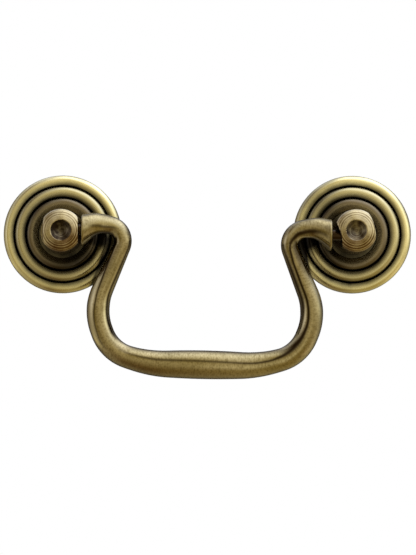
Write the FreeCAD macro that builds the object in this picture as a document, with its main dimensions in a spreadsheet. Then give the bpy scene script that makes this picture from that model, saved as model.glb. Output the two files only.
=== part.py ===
import FreeCAD, Part
import math
import os
import Sketcher

# A bail pull for a drawer: a swan-neck bail swings between two turned posts, each standing on a
# round rosette of three beads and held through the drawer front by a machine screw.
# Millimetres. X runs along the pull, Z is up, the drawer face is the plane Y = 0 and the pull
# stands towards -Y. The origin lies on the drawer face, midway between the two screws.

DIMENSIONS = {
    # boring of the drawer front and its thickness
    "post_pitch": 76.2,
    "drawer_front": 19.0,
    # rosette: outside, the two grooves between its beads, the well round the post and the screw hole
    "rosette_diameter": 31.0,
    "outer_groove_diameter": 25.6,
    "inner_groove_diameter": 19.4,
    "well_diameter": 12.5,
    "screw_hole_diameter": 4.8,
    "rim_height": 1.7,
    "outer_groove_height": 2.3,
    "inner_groove_height": 2.8,
    "seat_height": 2.6,
    "outer_bead_rise": 0.95,
    "middle_bead_rise": 1.0,
    "inner_bead_rise": 1.1,
    # post: a turned stud with two milled flats, a domed end and a drilled dimple
    "post_diameter": 11.1,
    "post_height": 18.6,
    "dome_rise": 1.5,
    "dimple_diameter": 5.4,
    "drill_point_angle": 118.0,
    "flat_width": 9.1,
    "flats_start": 7.0,
    "pivot_height": 13.5,
    "right_post_turn": 14.0,
    "tapped_diameter": 3.5,
    "tapped_run_out": 0.4,
    # machine screw, with its thread drawn at the crest outside the post and at the root inside it
    "screw_length": 28.6,
    "thread_diameter": 4.16,
    "thread_root_gap": 0.05,
    "screw_head_diameter": 8.2,
    "screw_crown_diameter": 5.9,
    "screw_head_height": 2.4,
    "screw_head_bulge": 0.29,
    "slot_width": 1.2,
    "slot_depth": 1.1,
    # bail pins: loose in the cross holes, so that the bail hangs a little askew
    "pin_diameter": 2.8,
    "pin_engagement": 1.7,
    "pin_clearance": 0.1,
    "pin_sag": 0.14,
    "pin_chamfer": 0.3,
    "left_end_gap": 0.56,
    "right_end_gap": 0.9,
    # bail bar: corners of its centreline, measured inwards from the end faces and down from the pins
    "end_rim": 0.5,
    "crest_inset": 3.85,
    "crest_height": 1.95,
    "elbow_inset": 12.7,
    "elbow_height": 0.65,
    "belly_inset": 3.8,
    "belly_depth": 20.3,
    "corner_inset": 7.9,
    "corner_depth": 31.2,
    "grip_half_length": 14.3,
    "bail_drop": 34.25,
    # bail bar: bend radii of the centreline
    "crest_bend": 6.0,
    "elbow_bend": 4.2,
    "belly_bend": 14.0,
    "corner_bend": 10.3,
    "grip_bend": 35.0,
    # bail bar: diameters of the round section
    "end_diameter": 8.2,
    "end_round": 0.45,
    "neck_diameter": 4.6,
    "belly_diameter": 5.95,
    "grip_diameter": 7.46,
}

doc = FreeCAD.newDocument("bail_pull")
sheet = doc.addObject("Spreadsheet::Sheet", "Sizes")
for row, (name, value) in enumerate(DIMENSIONS.items(), start=1):
    sheet.set(f"A{row}", name)
    sheet.set(f"B{row}", str(value))
    sheet.setAlias(f"B{row}", name)
doc.recompute()


def size(expression):
    """The present value, in millimetres or degrees, of an expression over the sheet."""
    value = sheet.evalExpression(expression)
    return float(getattr(value, "Value", value))


# Rules that several pieces share, written over the sheet
POST_RADIUS = "Sizes.post_diameter / 2"
FLAT_HALF = "Sizes.flat_width / 2"
RIGHT_TURN = "Sizes.right_post_turn * 1 deg"
PIN_PLAY = (
    f"(Sizes.pin_engagement / 2 * tan({RIGHT_TURN}) + Sizes.pin_sag + Sizes.pin_clearance)"
)
CROSS_HOLE_DIAMETER = f"Sizes.pin_diameter + 2 * {PIN_PLAY}"
DRILL_SLOPE = "tan(Sizes.drill_point_angle / 2 * 1 deg)"
SCREW_INSIDE = "(Sizes.screw_length - Sizes.drawer_front)"


def new_body(label, place):
    """A body whose Placement follows an expression."""
    body = doc.addObject("PartDesign::Body", label)
    body.Label = label
    body.setExpression("Placement", place)
    return body


def new_sketch(body, name, role):
    """A sketch on one of the body's own origin planes."""
    sketch = body.newObject("Sketcher::SketchObject", name)
    plane = next(item for item in body.Origin.OriginFeatures if item.Role == role)
    sketch.AttachmentSupport = [(plane, "")]
    sketch.MapMode = "FlatFace"
    return sketch


def pin_point(sketch, geometry, vertex, across, up):
    """Tie one end of a sketch edge to the origin by two expressions over the sheet."""
    axes = (("DistanceX", across, -2), ("DistanceY", up, -1))
    for kind, expression, axis in axes:
        if size(expression) == 0:
            sketch.addConstraint(Sketcher.Constraint("PointOnObject", geometry, vertex, axis))
        else:
            spot = Sketcher.Constraint(kind, -1, 1, geometry, vertex, size(expression))
            index = sketch.addConstraint(spot)
            sketch.setExpression(f"Constraints[{index}]", expression)


def draw_outline(sketch, corners, rises):
    """A closed outline through corners; an edge listed in rises is an arc bulging that much."""
    spots = [FreeCAD.Vector(size(across), size(up), 0) for across, up in corners]
    count = len(corners)
    for i, start in enumerate(spots):
        end = spots[(i + 1) % count]
        if i in rises:
            # the outline runs with the solid on its left, so the bulge is on the right of the chord
            along = end - start
            outward = FreeCAD.Vector(along.y, -along.x, 0).normalize()
            crest = (start + end) / 2 + outward * size(rises[i])
            sketch.addGeometry(Part.Arc(start, crest, end), False)
        else:
            sketch.addGeometry(Part.LineSegment(start, end), False)
    first = {i: 1 for i in range(count)}
    last = {i: 2 for i in range(count)}
    for i in range(count):
        edge = sketch.Geometry[i]
        if edge.StartPoint.distanceToPoint(spots[i]) > edge.EndPoint.distanceToPoint(spots[i]):
            first[i], last[i] = 2, 1
    for i in range(count):
        after = (i + 1) % count
        meet = Sketcher.Constraint("Coincident", i, last[i], after, first[after])
        sketch.addConstraint(meet)
    for i, (across, up) in enumerate(corners):
        pin_point(sketch, i, first[i], across, up)
    for i, rise in rises.items():
        (x0, y0), (x1, y1) = corners[i], corners[(i + 1) % count]
        chord = f"(({x1}) - ({x0}))^2 + (({y1}) - ({y0}))^2"
        radius = f"(({chord}) / 4 + ({rise})^2) / (2 * ({rise}))"
        index = sketch.addConstraint(Sketcher.Constraint("Radius", i, size(radius)))
        sketch.setExpression(f"Constraints[{index}]", radius)


def revolve(body, sketch):
    """A full turn of a sketch about its vertical axis."""
    turned = body.newObject("PartDesign::Revolution", "Turned")
    turned.Profile = sketch
    turned.ReferenceAxis = (sketch, ["V_Axis"])
    turned.Angle = 360
    return turned


def cut(body, sketch, name, both_ways):
    """A pocket right through from a sketch, checked to have taken material away."""
    doc.recompute()
    before = body.Shape.Volume
    pocket = body.newObject("PartDesign::Pocket", name)
    pocket.Profile = sketch
    pocket.Type = "ThroughAll"
    pocket.Midplane = both_ways
    pocket.Reversed = not both_ways
    doc.recompute()
    if not body.Shape.Volume < before:
        raise RuntimeError(f"{body.Label}: {name} cut nothing")


# A turned piece is drawn with its axis along its own Z, which then points out of or into the drawer
FACING_OUT = "rotation(vector(1; 0; 0); 90)"
FACING_IN = "rotation(vector(1; 0; 0); -90)"
SIDES = {"left": "-Sizes.post_pitch / 2", "right": "Sizes.post_pitch / 2"}


def make_rosette(side):
    """A cast disc of three beads with a flat well for the post and a hole for the screw."""
    place = f"placement(vector({SIDES[side]}; 0; 0); {FACING_OUT})"
    body = new_body(f"{side}_rosette", place)
    sketch = new_sketch(body, "Profile", "XZ_Plane")
    hole = "Sizes.screw_hole_diameter / 2"
    edge = "Sizes.rosette_diameter / 2"
    corners = [
        (hole, "0"),
        (edge, "0"),
        (edge, "Sizes.rim_height"),
        ("Sizes.outer_groove_diameter / 2", "Sizes.outer_groove_height"),
        ("Sizes.inner_groove_diameter / 2", "Sizes.inner_groove_height"),
        ("Sizes.well_diameter / 2", "Sizes.seat_height"),
        (hole, "Sizes.seat_height"),
    ]
    rises = {
        2: "Sizes.outer_bead_rise",
        3: "Sizes.middle_bead_rise",
        4: "Sizes.inner_bead_rise",
    }
    draw_outline(sketch, corners, rises)
    revolve(body, sketch)
    return body


def make_post(side, turn):
    """A turned post with a domed, dimpled head, two flats and a cross hole for the bail's pin."""
    turned = f"{FACING_OUT} * rotation(vector(0; 0; 1); {turn})"
    body = new_body(f"{side}_post", f"placement(vector({SIDES[side]}; 0; 0); {turned})")
    profile = new_sketch(body, "Profile", "XZ_Plane")
    tapped = "Sizes.tapped_diameter / 2"
    dimple = "Sizes.dimple_diameter / 2"
    tapped_top = f"{SCREW_INSIDE} + Sizes.tapped_run_out"
    # the dome is part of a sphere, and the dimple's edge lies on it
    dome = f"((({POST_RADIUS})^2 + Sizes.dome_rise^2) / (2 * Sizes.dome_rise))"
    dimple_edge = f"Sizes.post_height - {dome} + sqrt({dome}^2 - ({dimple})^2)"
    shoulder = "Sizes.post_height - Sizes.dome_rise"
    corners = [
        ("0", f"{tapped_top} + {tapped} / {DRILL_SLOPE}"),
        (tapped, tapped_top),
        (tapped, "Sizes.seat_height"),
        (POST_RADIUS, "Sizes.seat_height"),
        (POST_RADIUS, shoulder),
        (dimple, dimple_edge),
        ("0", f"{dimple_edge} - {dimple} / {DRILL_SLOPE}"),
    ]
    chord = f"sqrt((({POST_RADIUS}) - ({dimple}))^2 + (({dimple_edge}) - ({shoulder}))^2)"
    dome_bulge = f"{dome} - sqrt({dome}^2 - ({chord})^2 / 4)"
    draw_outline(profile, corners, {4: dome_bulge})
    revolve(body, profile)

    flats = new_sketch(body, "Flats", "XY_Plane")
    flats.setExpression("AttachmentOffset.Base.z", "Sizes.flats_start")
    first_edge = 0
    for sign in ("", "-"):
        box = [
            (f"{sign}({FLAT_HALF})", f"-({POST_RADIUS})"),
            (f"{sign}(Sizes.post_diameter)", f"-({POST_RADIUS})"),
            (f"{sign}(Sizes.post_diameter)", POST_RADIUS),
            (f"{sign}({FLAT_HALF})", POST_RADIUS),
        ]
        spots = [FreeCAD.Vector(size(across), size(up), 0) for across, up in box]
        for i in range(len(box)):
            flats.addGeometry(Part.LineSegment(spots[i], spots[(i + 1) % len(box)]), False)
        for i, (across, up) in enumerate(box):
            after = first_edge + (i + 1) % len(box)
            flats.addConstraint(Sketcher.Constraint("Coincident", first_edge + i, 2, after, 1))
            pin_point(flats, first_edge + i, 1, across, up)
        first_edge += len(box)
    cut(body, flats, "MilledFlats", both_ways=False)

    bore = new_sketch(body, "CrossHole", "YZ_Plane")
    ring = Part.Circle()
    ring.Center = FreeCAD.Vector(0, size("Sizes.pivot_height"), 0)
    ring.Radius = size(CROSS_HOLE_DIAMETER) / 2
    bore.addGeometry(ring, False)
    pin_point(bore, 0, 3, "0", "Sizes.pivot_height")
    wide = Sketcher.Constraint("Diameter", 0, size(CROSS_HOLE_DIAMETER))
    bore.setExpression(f"Constraints[{bore.addConstraint(wide)}]", CROSS_HOLE_DIAMETER)
    cut(body, bore, "PinHole", both_ways=True)
    return body


def make_screw(side):
    """A slotted pan-head machine screw, driven from inside the drawer into the post."""
    place = f"placement(vector({SIDES[side]}; -{SCREW_INSIDE}; 0); {FACING_IN})"
    body = new_body(f"{side}_screw", place)
    profile = new_sketch(body, "Profile", "XZ_Plane")
    root = "(Sizes.tapped_diameter / 2 - Sizes.thread_root_gap)"
    crest = "Sizes.thread_diameter / 2"
    head = "Sizes.screw_head_diameter / 2"
    top = "Sizes.screw_length + Sizes.screw_head_height"
    corners = [
        ("0", "0"),
        (root, "0"),
        (root, SCREW_INSIDE),
        (crest, SCREW_INSIDE),
        (crest, "Sizes.screw_length"),
        (head, "Sizes.screw_length"),
        ("Sizes.screw_crown_diameter / 2", top),
        ("0", top),
    ]
    draw_outline(profile, corners, {5: "Sizes.screw_head_bulge"})
    revolve(body, profile)

    slot = new_sketch(body, "Slot", "YZ_Plane")
    half = "Sizes.slot_width / 2"
    floor = f"{top} - Sizes.slot_depth"
    box = [(f"-({half})", floor), (half, floor), (half, top), (f"-({half})", top)]
    draw_outline(slot, box, {})
    cut(body, slot, "DriverSlot", both_ways=True)
    return body


# The bends at both ends of a run take at most this share of it, so that some of it stays straight
BEND_SHARE = 0.96


def bent_path(corners, bends):
    """Straight runs and tangent arcs through corners."""
    turns = list(zip(corners, corners[1:], corners[2:]))
    half_angles = [(before - at).getAngle(after - at) / 2 for before, at, after in turns]
    setbacks = [bend / math.tan(half) for bend, half in zip(bends, half_angles)]
    room = []
    for start, end, first, last in zip(corners, corners[1:], [0] + setbacks, setbacks + [0]):
        room.append(min(1, BEND_SHARE * (end - start).Length / (first + last)))
    edges = []
    start = corners[0]
    for i, (before, corner, after) in enumerate(turns):
        setback = setbacks[i] * min(room[i], room[i + 1])
        radius = setback * math.tan(half_angles[i])
        back = (before - corner).normalize()
        ahead = (after - corner).normalize()
        towards_centre = (back + ahead).normalize()
        middle = corner + towards_centre * (radius / math.sin(half_angles[i]) - radius)
        arc_start = corner + back * setback
        arc_end = corner + ahead * setback
        edges.append(Part.LineSegment(start, arc_start).toShape())
        edges.append(Part.Arc(arc_start, middle, arc_end).toShape())
        start = arc_end
    edges.append(Part.LineSegment(start, corners[-1]).toShape())
    return edges


INWARDS = FreeCAD.Vector(-1, 0, 0)


def section_at(edges, distance, diameter, lean=1):
    """A circle at a distance along the path, upright (lean 0) to square to the path (lean 1)."""
    for edge in edges:
        if distance <= edge.Length or edge is edges[-1]:
            spot = edge.getParameterByLength(min(distance, edge.Length))
            facing = edge.tangentAt(spot) * lean + INWARDS * (1 - lean)
            ring = Part.Circle(edge.valueAt(spot), facing, diameter / 2)
            return Part.Wire([ring.toShape()])
        distance -= edge.Length


def loft_along(edges, diameter_at, shares=(0, 1), lean_at=lambda share: 1):
    """A bar along a path, lofted through sections at shares of the path's length."""
    length = sum(edge.Length for edge in edges)
    rings = [
        section_at(edges, length * share, diameter_at(share), lean_at(share)) for share in shares
    ]
    return Part.makeLoft(rings, True, False)


def bent_bar(arc, diameter):
    """A length of round bar bent to an arc."""
    disc = Part.Face(section_at([arc], 0, diameter))
    axis = arc.Curve.Axis
    sweep = math.degrees(arc.LastParameter - arc.FirstParameter)
    return disc.revolve(arc.Curve.Center, axis, sweep)


# How the bell of an arm dies into its neck and how the grip swells, with the sections of both lofts
BELL_POWER = 2.3
BARREL_POWER = 1.5
ARM_SHARES = (0, 0.08, 0.2, 0.35, 0.55, 0.78, 1)
GRIP_SHARES = [i / 8 for i in range(9)]


def make_bail():
    """A cast swan-neck bar: flared ends with pins, elbows, legs and a grip thickest in the middle."""
    turn = math.radians(size("Sizes.right_post_turn"))
    half_pitch = size("Sizes.post_pitch / 2")
    flat_half = size(FLAT_HALF)
    half_chord = math.sqrt(size(POST_RADIUS) ** 2 - flat_half**2)

    # the end faces lie clear of the left post's flat and of the right post's nearest corner
    left_face = -half_pitch + flat_half + size("Sizes.left_end_gap")
    corner_reach = flat_half * math.cos(turn) + half_chord * math.sin(turn)
    right_face = half_pitch - corner_reach - size("Sizes.right_end_gap")
    half_span = (right_face - left_face) / 2

    # the pins reach as deep as pin_engagement into the right post, past the mouth of its turned hole
    engaged = size("Sizes.pin_engagement")
    right_mouth = half_pitch - flat_half * math.cos(turn)
    pin_length = engaged + right_mouth - right_face
    left_engaged = pin_length - size("Sizes.left_end_gap")

    # the left pin hangs from the top of its hole, the right one follows the turned post down
    left_x = -half_pitch + flat_half - left_engaged / 2
    left_z = size(PIN_PLAY) - size("Sizes.pin_clearance")
    right_depth = flat_half - engaged / 2
    right_x = half_pitch - right_depth * math.cos(turn)
    right_z = -right_depth * math.sin(turn) - size("Sizes.pin_sag")
    slope = (right_z - left_z) / (right_x - left_x)
    middle_x = (left_face + right_face) / 2
    middle_z = left_z + slope * (middle_x - left_x)

    # centreline from the right end's rim round to the grip, and the same again mirrored
    rim = size("Sizes.end_rim")
    right_half = [
        (half_span - rim, 0),
        (half_span - size("Sizes.crest_inset"), size("Sizes.crest_height")),
        (half_span - size("Sizes.elbow_inset"), size("Sizes.elbow_height")),
        (half_span - size("Sizes.belly_inset"), -size("Sizes.belly_depth")),
        (half_span - size("Sizes.corner_inset"), -size("Sizes.corner_depth")),
        (size("Sizes.grip_half_length"), -size("Sizes.bail_drop")),
    ]
    corners = [FreeCAD.Vector(x, 0, z) for x, z in right_half]
    corners += [FreeCAD.Vector(-x, 0, z) for x, z in reversed(right_half)]
    names = ("crest", "elbow", "belly", "corner", "grip")
    bends = [size(f"Sizes.{name}_bend") for name in names]
    edges = bent_path(corners, bends + bends[::-1])
    arm = edges[0:3]
    elbow, leg, belly, belly_run, corner = edges[3:8]
    grip = edges[8:13]

    # the bell of the arm dies into the neck, and the grip swells from the corners to the middle
    end_diameter = size("Sizes.end_diameter")
    neck = size("Sizes.neck_diameter")
    thick = size("Sizes.belly_diameter")
    swell = size("Sizes.grip_diameter") - thick

    def bell(share):
        return neck + (end_diameter - neck) * (1 - share) ** BELL_POWER

    def barrel(share):
        return thick + swell * (1 - (2 * share - 1) ** 2) ** BARREL_POWER

    pieces = [
        loft_along(arm, bell, ARM_SHARES, lambda share: share),
        bent_bar(elbow, neck),
        loft_along([leg], lambda share: neck + (thick - neck) * share),
        bent_bar(belly, thick),
        loft_along([belly_run], lambda share: thick),
        bent_bar(corner, thick),
    ]
    flange = Part.makeCylinder(
        end_diameter / 2, rim, FreeCAD.Vector(half_span - rim, 0, 0), FreeCAD.Vector(1, 0, 0)
    )
    outer_edge = [edge for edge in flange.Edges if edge.BoundBox.XMin > half_span - rim / 2]
    flange = flange.makeFillet(size("Sizes.end_round"), outer_edge)
    pin = Part.makeCylinder(
        size("Sizes.pin_diameter / 2"),
        pin_length,
        FreeCAD.Vector(half_span, 0, 0),
        FreeCAD.Vector(1, 0, 0),
    )
    tip = [edge for edge in pin.Edges if edge.BoundBox.XMin > half_span + pin_length / 2]
    pin = pin.makeChamfer(size("Sizes.pin_chamfer"), tip)
    pieces += [flange, pin]
    mirror = FreeCAD.Vector(1, 0, 0)
    pieces += [piece.mirror(FreeCAD.Vector(0, 0, 0), mirror) for piece in pieces]
    pieces.append(loft_along(grip, barrel, GRIP_SHARES))

    bail = doc.addObject("Part::Feature", "bail")
    bail.Label = "bail"
    bail.Shape = pieces[0].multiFuse(pieces[1:]).removeSplitter()
    tilt = FreeCAD.Rotation(FreeCAD.Vector(0, -1, 0), math.degrees(math.atan(slope)))
    middle = FreeCAD.Vector(middle_x, -size("Sizes.pivot_height"), middle_z)
    bail.Placement = FreeCAD.Placement(middle, tilt)
    return bail


parts = [make_bail()]
parts += [make_rosette(side) for side in SIDES]
parts += [make_post("left", "0"), make_post("right", "Sizes.right_post_turn")]
parts += [make_screw(side) for side in SIDES]
doc.recompute()

for item in doc.Objects:
    if "Invalid" in item.State or "Error" in item.State:
        raise RuntimeError(f"{item.Name} failed: {item.State}")
for part in parts:
    shape = part.Shape
    if shape.isNull() or not shape.isValid() or len(shape.Solids) != 1:
        raise RuntimeError(f"{part.Label} is not one valid solid")

os.makedirs("parts", exist_ok=True)
for part in parts:
    part.Shape.exportStep(f"parts/{part.Label}.step")
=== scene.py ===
import math

import bmesh
import bpy
from mathutils import Matrix, Vector


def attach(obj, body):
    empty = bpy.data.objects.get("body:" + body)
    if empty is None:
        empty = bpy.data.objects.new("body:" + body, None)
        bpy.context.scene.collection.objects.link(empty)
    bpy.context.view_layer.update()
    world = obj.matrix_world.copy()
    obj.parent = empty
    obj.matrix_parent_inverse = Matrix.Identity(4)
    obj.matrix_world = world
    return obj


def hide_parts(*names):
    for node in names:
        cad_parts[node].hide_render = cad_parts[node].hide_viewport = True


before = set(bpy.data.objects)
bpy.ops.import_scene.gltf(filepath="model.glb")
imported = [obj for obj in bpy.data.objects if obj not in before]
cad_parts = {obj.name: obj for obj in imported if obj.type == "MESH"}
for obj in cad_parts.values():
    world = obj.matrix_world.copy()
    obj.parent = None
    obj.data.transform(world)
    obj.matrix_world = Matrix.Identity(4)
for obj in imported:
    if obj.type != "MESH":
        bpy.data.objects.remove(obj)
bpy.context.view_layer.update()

# ROSETTES
# Two cast brass discs that lie on the drawer front under the posts. Each has three rounded beads,
# a flat well for the post's foot and a hole for the screw; the finisher dips the casting in a
# blackening bath and rubs the crests bright again, so the patina stays in the grooves and the well.
MM = 0.001
POST_PITCH = 76.2
SIDES = {"left": -POST_PITCH / 2, "right": POST_PITCH / 2}
# which way along X the bail lies from each post
BAIL_SIDE = {"left": 1, "right": -1}
ROSETTE_RADIUS = 15.49
SCREW_HOLE_RADIUS = 2.4
WELL_RADIUS = 6.25
SEAT_HEIGHT = 2.6
BACK_ROUND = 0.25
# outer edge, the two grooves and the edge of the well, as (radius, height), and the beads' rises between them
BEAD_FEET = [(ROSETTE_RADIUS, 1.7), (12.8, 2.3), (9.7, 2.8), (WELL_RADIUS, SEAT_HEIGHT)]
BEAD_RISES = [0.75, 0.78, 0.75]
GROOVE_HALF_WIDTH = 0.16
GROOVE_DEPTH = 0.25
# each bead is steep towards the rim and slopes gently to the next groove, where it ends in a low step
BEAD_LEAN = 0.66
BEAD_STEP_HEIGHTS = [0.45, 0.55, 0.8]
BEAD_STEPS = 26
ROSETTE_SEGMENTS = 208
# the hole is wider than the screw, so the rosette hangs this much low on it
ROSETTE_SAG = 0.15
# in metres: corners of a mesh that are nearer than this are one, and edges that are shorter than this go
WELD = 1e-6
SLIVER = 1e-7
CREASE = math.radians(40)


def linear(colour):
    """An sRGB hex colour as linear RGBA."""
    channels = [int(colour[i:i + 2], 16) / 255 for i in (1, 3, 5)]
    return [c / 12.92 if c <= 0.04045 else ((c + 0.055) / 1.055) ** 2.4 for c in channels] + [1.0]


def add(tree, kind, inputs=None, **settings):
    """One node, with its settings, and its inputs set or linked."""
    made = tree.nodes.new(kind)
    for name, value in settings.items():
        setattr(made, name, value)
    for socket, value in (inputs or {}).items():
        if isinstance(value, bpy.types.NodeSocket):
            tree.links.new(value, made.inputs[socket])
        else:
            made.inputs[socket].default_value = value
    return made


def new_material(name):
    """A bare material and its node tree."""
    material = bpy.data.materials.new(name)
    material.use_nodes = True
    material.node_tree.nodes.clear()
    return material, material.node_tree


def skin(name, rings, ring_is_loop=False):
    """A closed mesh over rings of points in millimetres; ends meet in a pole or, as a loop, each other."""
    shell = bmesh.new()
    rows = [[shell.verts.new(Vector(spot) * MM) for spot in ring] for ring in rings]
    count = len(rows[0])
    following = rows[1:] + rows[:1] if ring_is_loop else rows[1:]
    for row, after in zip(rows, following):
        for i in range(count):
            j = (i + 1) % count
            shell.faces.new((row[i], row[j], after[j], after[i]))
    bmesh.ops.remove_doubles(shell, verts=shell.verts, dist=WELD)
    bmesh.ops.dissolve_degenerate(shell, edges=shell.edges, dist=SLIVER)
    bmesh.ops.recalc_face_normals(shell, faces=shell.faces)
    mesh = bpy.data.meshes.new(name)
    shell.to_mesh(mesh)
    shell.free()
    return finished(name, mesh)


def finished(name, mesh, crease=CREASE):
    """An object at the origin over a mesh, smooth apart from its creases."""
    mesh.shade_smooth()
    mesh.set_sharp_from_angle(angle=crease)
    piece = bpy.data.objects.new(name, mesh)
    bpy.context.scene.collection.objects.link(piece)
    return piece


def turn_rings(profile, axis_x, axis_z, segments):
    """Circles round an axis that stands square on the drawer, one for each (radius, height)."""
    angles = [2 * math.pi * i / segments for i in range(segments)]
    return [[(axis_x + r * math.cos(a), -h, axis_z + r * math.sin(a)) for a in angles] for r, h in profile]


def rosette_profile():
    """The rosette's half section, from the hole along the back, over the beads and into the well."""
    profile = [(SCREW_HOLE_RADIUS, 0), (ROSETTE_RADIUS - BACK_ROUND, 0), (ROSETTE_RADIUS, BACK_ROUND)]
    for i, rise in enumerate(BEAD_RISES):
        (r0, h0), (r1, h1) = BEAD_FEET[i], BEAD_FEET[i + 1]
        start = (r0 - (GROOVE_HALF_WIDTH if i else 0), h0)
        end = (r1 + GROOVE_HALF_WIDTH, h1 + BEAD_STEP_HEIGHTS[i])
        for step in range(BEAD_STEPS + 1):
            share = step / BEAD_STEPS
            lift = rise * math.sin(math.pi * share ** BEAD_LEAN)
            r, h = [a + (b - a) * share for a, b in zip(start, end)]
            profile.append((r, h + lift))
        profile.append((r1, h1 - (GROOVE_DEPTH if i < len(BEAD_RISES) - 1 else 0)))
    return profile + [(SCREW_HOLE_RADIUS, SEAT_HEIGHT)]


# Cast antique brass under lacquer: the rubbed crests are bright yellow, the third bead and the well keep
# a grey brown patina, the grooves are black, and painted shadow of the bail and painted shade at the foot
# darken the beads; a fine cast grain of about 0.3 mm, drawn at 0.5 mm, breaks the shine.
CAST_BLOTCH = 4 * MM
CAST_GRAIN = 0.5 * MM
CREST_BRASS = "#d6c894"
DULL_BRASS = "#6d6049"
BATH_AND_SHADE_BLACK = "#0f0a05"
# how much of the black bath the cloth left, and how bright it rubbed the brass, by the distance from the axis
BATH_BY_RADIUS = [
    (2.4, 0.86), (6.3, 0.8), (6.6, 0.1), (7.8, 0.0), (8.8, 0.15), (9.4, 0.6), (9.75, 0.93), (10.1, 0.77),
    (10.5, 0.5), (11.3, 0.0), (11.7, 0.03), (12.25, 0.4), (12.6, 0.78), (12.85, 0.93), (13.25, 0.72),
    (13.65, 0.45), (14.1, 0.1), (14.6, 0.0),
]
RUBBING_BY_RADIUS = [
    (2.4, 0.0), (6.3, 0.25), (7.4, 0.15), (8.2, 0.0), (9.4, 0.0), (10.2, 0.58), (12.4, 0.62), (13.2, 1.0),
]
# painted shadow of the bail: it darkens the inner bead beside the bail's arm and any bead close under the
# arm: the middle of each place and its half width, in degrees from the right
BESIDE_ARM = {"left": (300, 65), "right": (215, 45)}
BESIDE_ARM_SHADOW = 0.85
INNER_BEAD_EDGE = 10.4
INNER_BEAD_FADE = 0.8
UNDER_ARM = {"left": (352, 16), "right": (188, 16)}
# painted shadow of the bail's leg on what lies behind it: a line beside the leg through two places, each by
# its distance from the axis towards the bail and its height; the painted shadow fades out across the line and
# up to the arm
BESIDE_LEG = {"left": ((10.8, -3.1), (7.9, -11.0)), "right": ((11.6, -4.2), (11.0, -8.8))}
BEHIND_LEG_SHADOW = 0.97
LEG_LINE_SHARE = 0.3
LEG_FADE = 0.8
ARM_FADE = 2
# painted shade that darkens the foot, and a darker patch at the upper left: the middle, the half width and
# the share
FOOT_SHADE_AND_PATCHES = {
    "left": [(270, 65, 0.38), (150, 35, 0.25)],
    "right": [(262, 50, 0.38), (138, 32, 0.5)],
}


def clamp(share):
    """A share kept between nothing and all."""
    return min(1, max(0, share))


def along_steps(steps, place):
    """The value at a place between steps of (place, value)."""
    for (start, low), (end, high) in zip(steps, steps[1:]):
        if place <= end:
            return low + (high - low) * max(0, place - start) / (end - start)
    return steps[-1][1]


def cast_brass():
    material, tree = new_material("cast_antique_brass")
    place = add(tree, "ShaderNodeTexCoord").outputs["Object"]
    bath_and_painted_shade = add(tree, "ShaderNodeAttribute", attribute_name="bath_and_painted_shade").outputs["Fac"]
    rubbing_and_painted_highlight = add(tree, "ShaderNodeAttribute", attribute_name="rubbing_and_painted_highlight").outputs["Fac"]
    blotch = add(tree, "ShaderNodeTexNoise", {"Vector": place, "Scale": 1 / CAST_BLOTCH, "Detail": 5.0})
    grain = add(tree, "ShaderNodeTexNoise", {"Vector": place, "Scale": 1 / CAST_GRAIN, "Detail": 4.0})
    wander = add(tree, "ShaderNodeMapRange", {0: blotch.outputs["Fac"], 1: 0.3, 2: 0.7, 3: -0.1, 4: 0.1})
    # the bath's black is patina in the grooves and the well, painted shadow of the bail and painted shade at
    # the foot
    black_and_shade = add(tree, "ShaderNodeMath", {0: bath_and_painted_shade, 1: wander.outputs[0]}, operation="ADD", use_clamp=True)
    rubbed_and_highlit = add(tree, "ShaderNodeMath", {0: rubbing_and_painted_highlight, 1: wander.outputs[0]}, operation="ADD", use_clamp=True)
    brass = add(
        tree, "ShaderNodeMix",
        {0: rubbed_and_highlit.outputs[0], 6: linear(DULL_BRASS), 7: linear(CREST_BRASS)}, data_type="RGBA",
    )
    toned = add(
        tree, "ShaderNodeMix",
        {0: black_and_shade.outputs[0], 6: brass.outputs[2], 7: linear(BATH_AND_SHADE_BLACK)}, data_type="RGBA",
    )
    rough = add(tree, "ShaderNodeMapRange", {0: grain.outputs["Fac"], 1: 0.3, 2: 0.7, 3: 0.22, 4: 0.34})
    bump = add(
        tree, "ShaderNodeBump", {"Height": grain.outputs["Fac"], "Strength": 0.1, "Distance": 0.006 * MM}
    )
    shader = add(
        tree, "ShaderNodeBsdfPrincipled",
        {"Base Color": toned.outputs[2], "Metallic": 1.0, "Roughness": rough.outputs[0],
         "Normal": bump.outputs[0], "Coat Weight": 0.15, "Coat Roughness": 0.2},
    )
    add(tree, "ShaderNodeOutputMaterial", {"Surface": shader.outputs[0]})
    return material


def paint(piece, name, value_at):
    """A number on every corner of a mesh, from the place of that corner."""
    layer = piece.data.attributes.new(name, "FLOAT", "POINT")
    for vertex in piece.data.vertices:
        layer.data[vertex.index].value = value_at(vertex.co)


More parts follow.
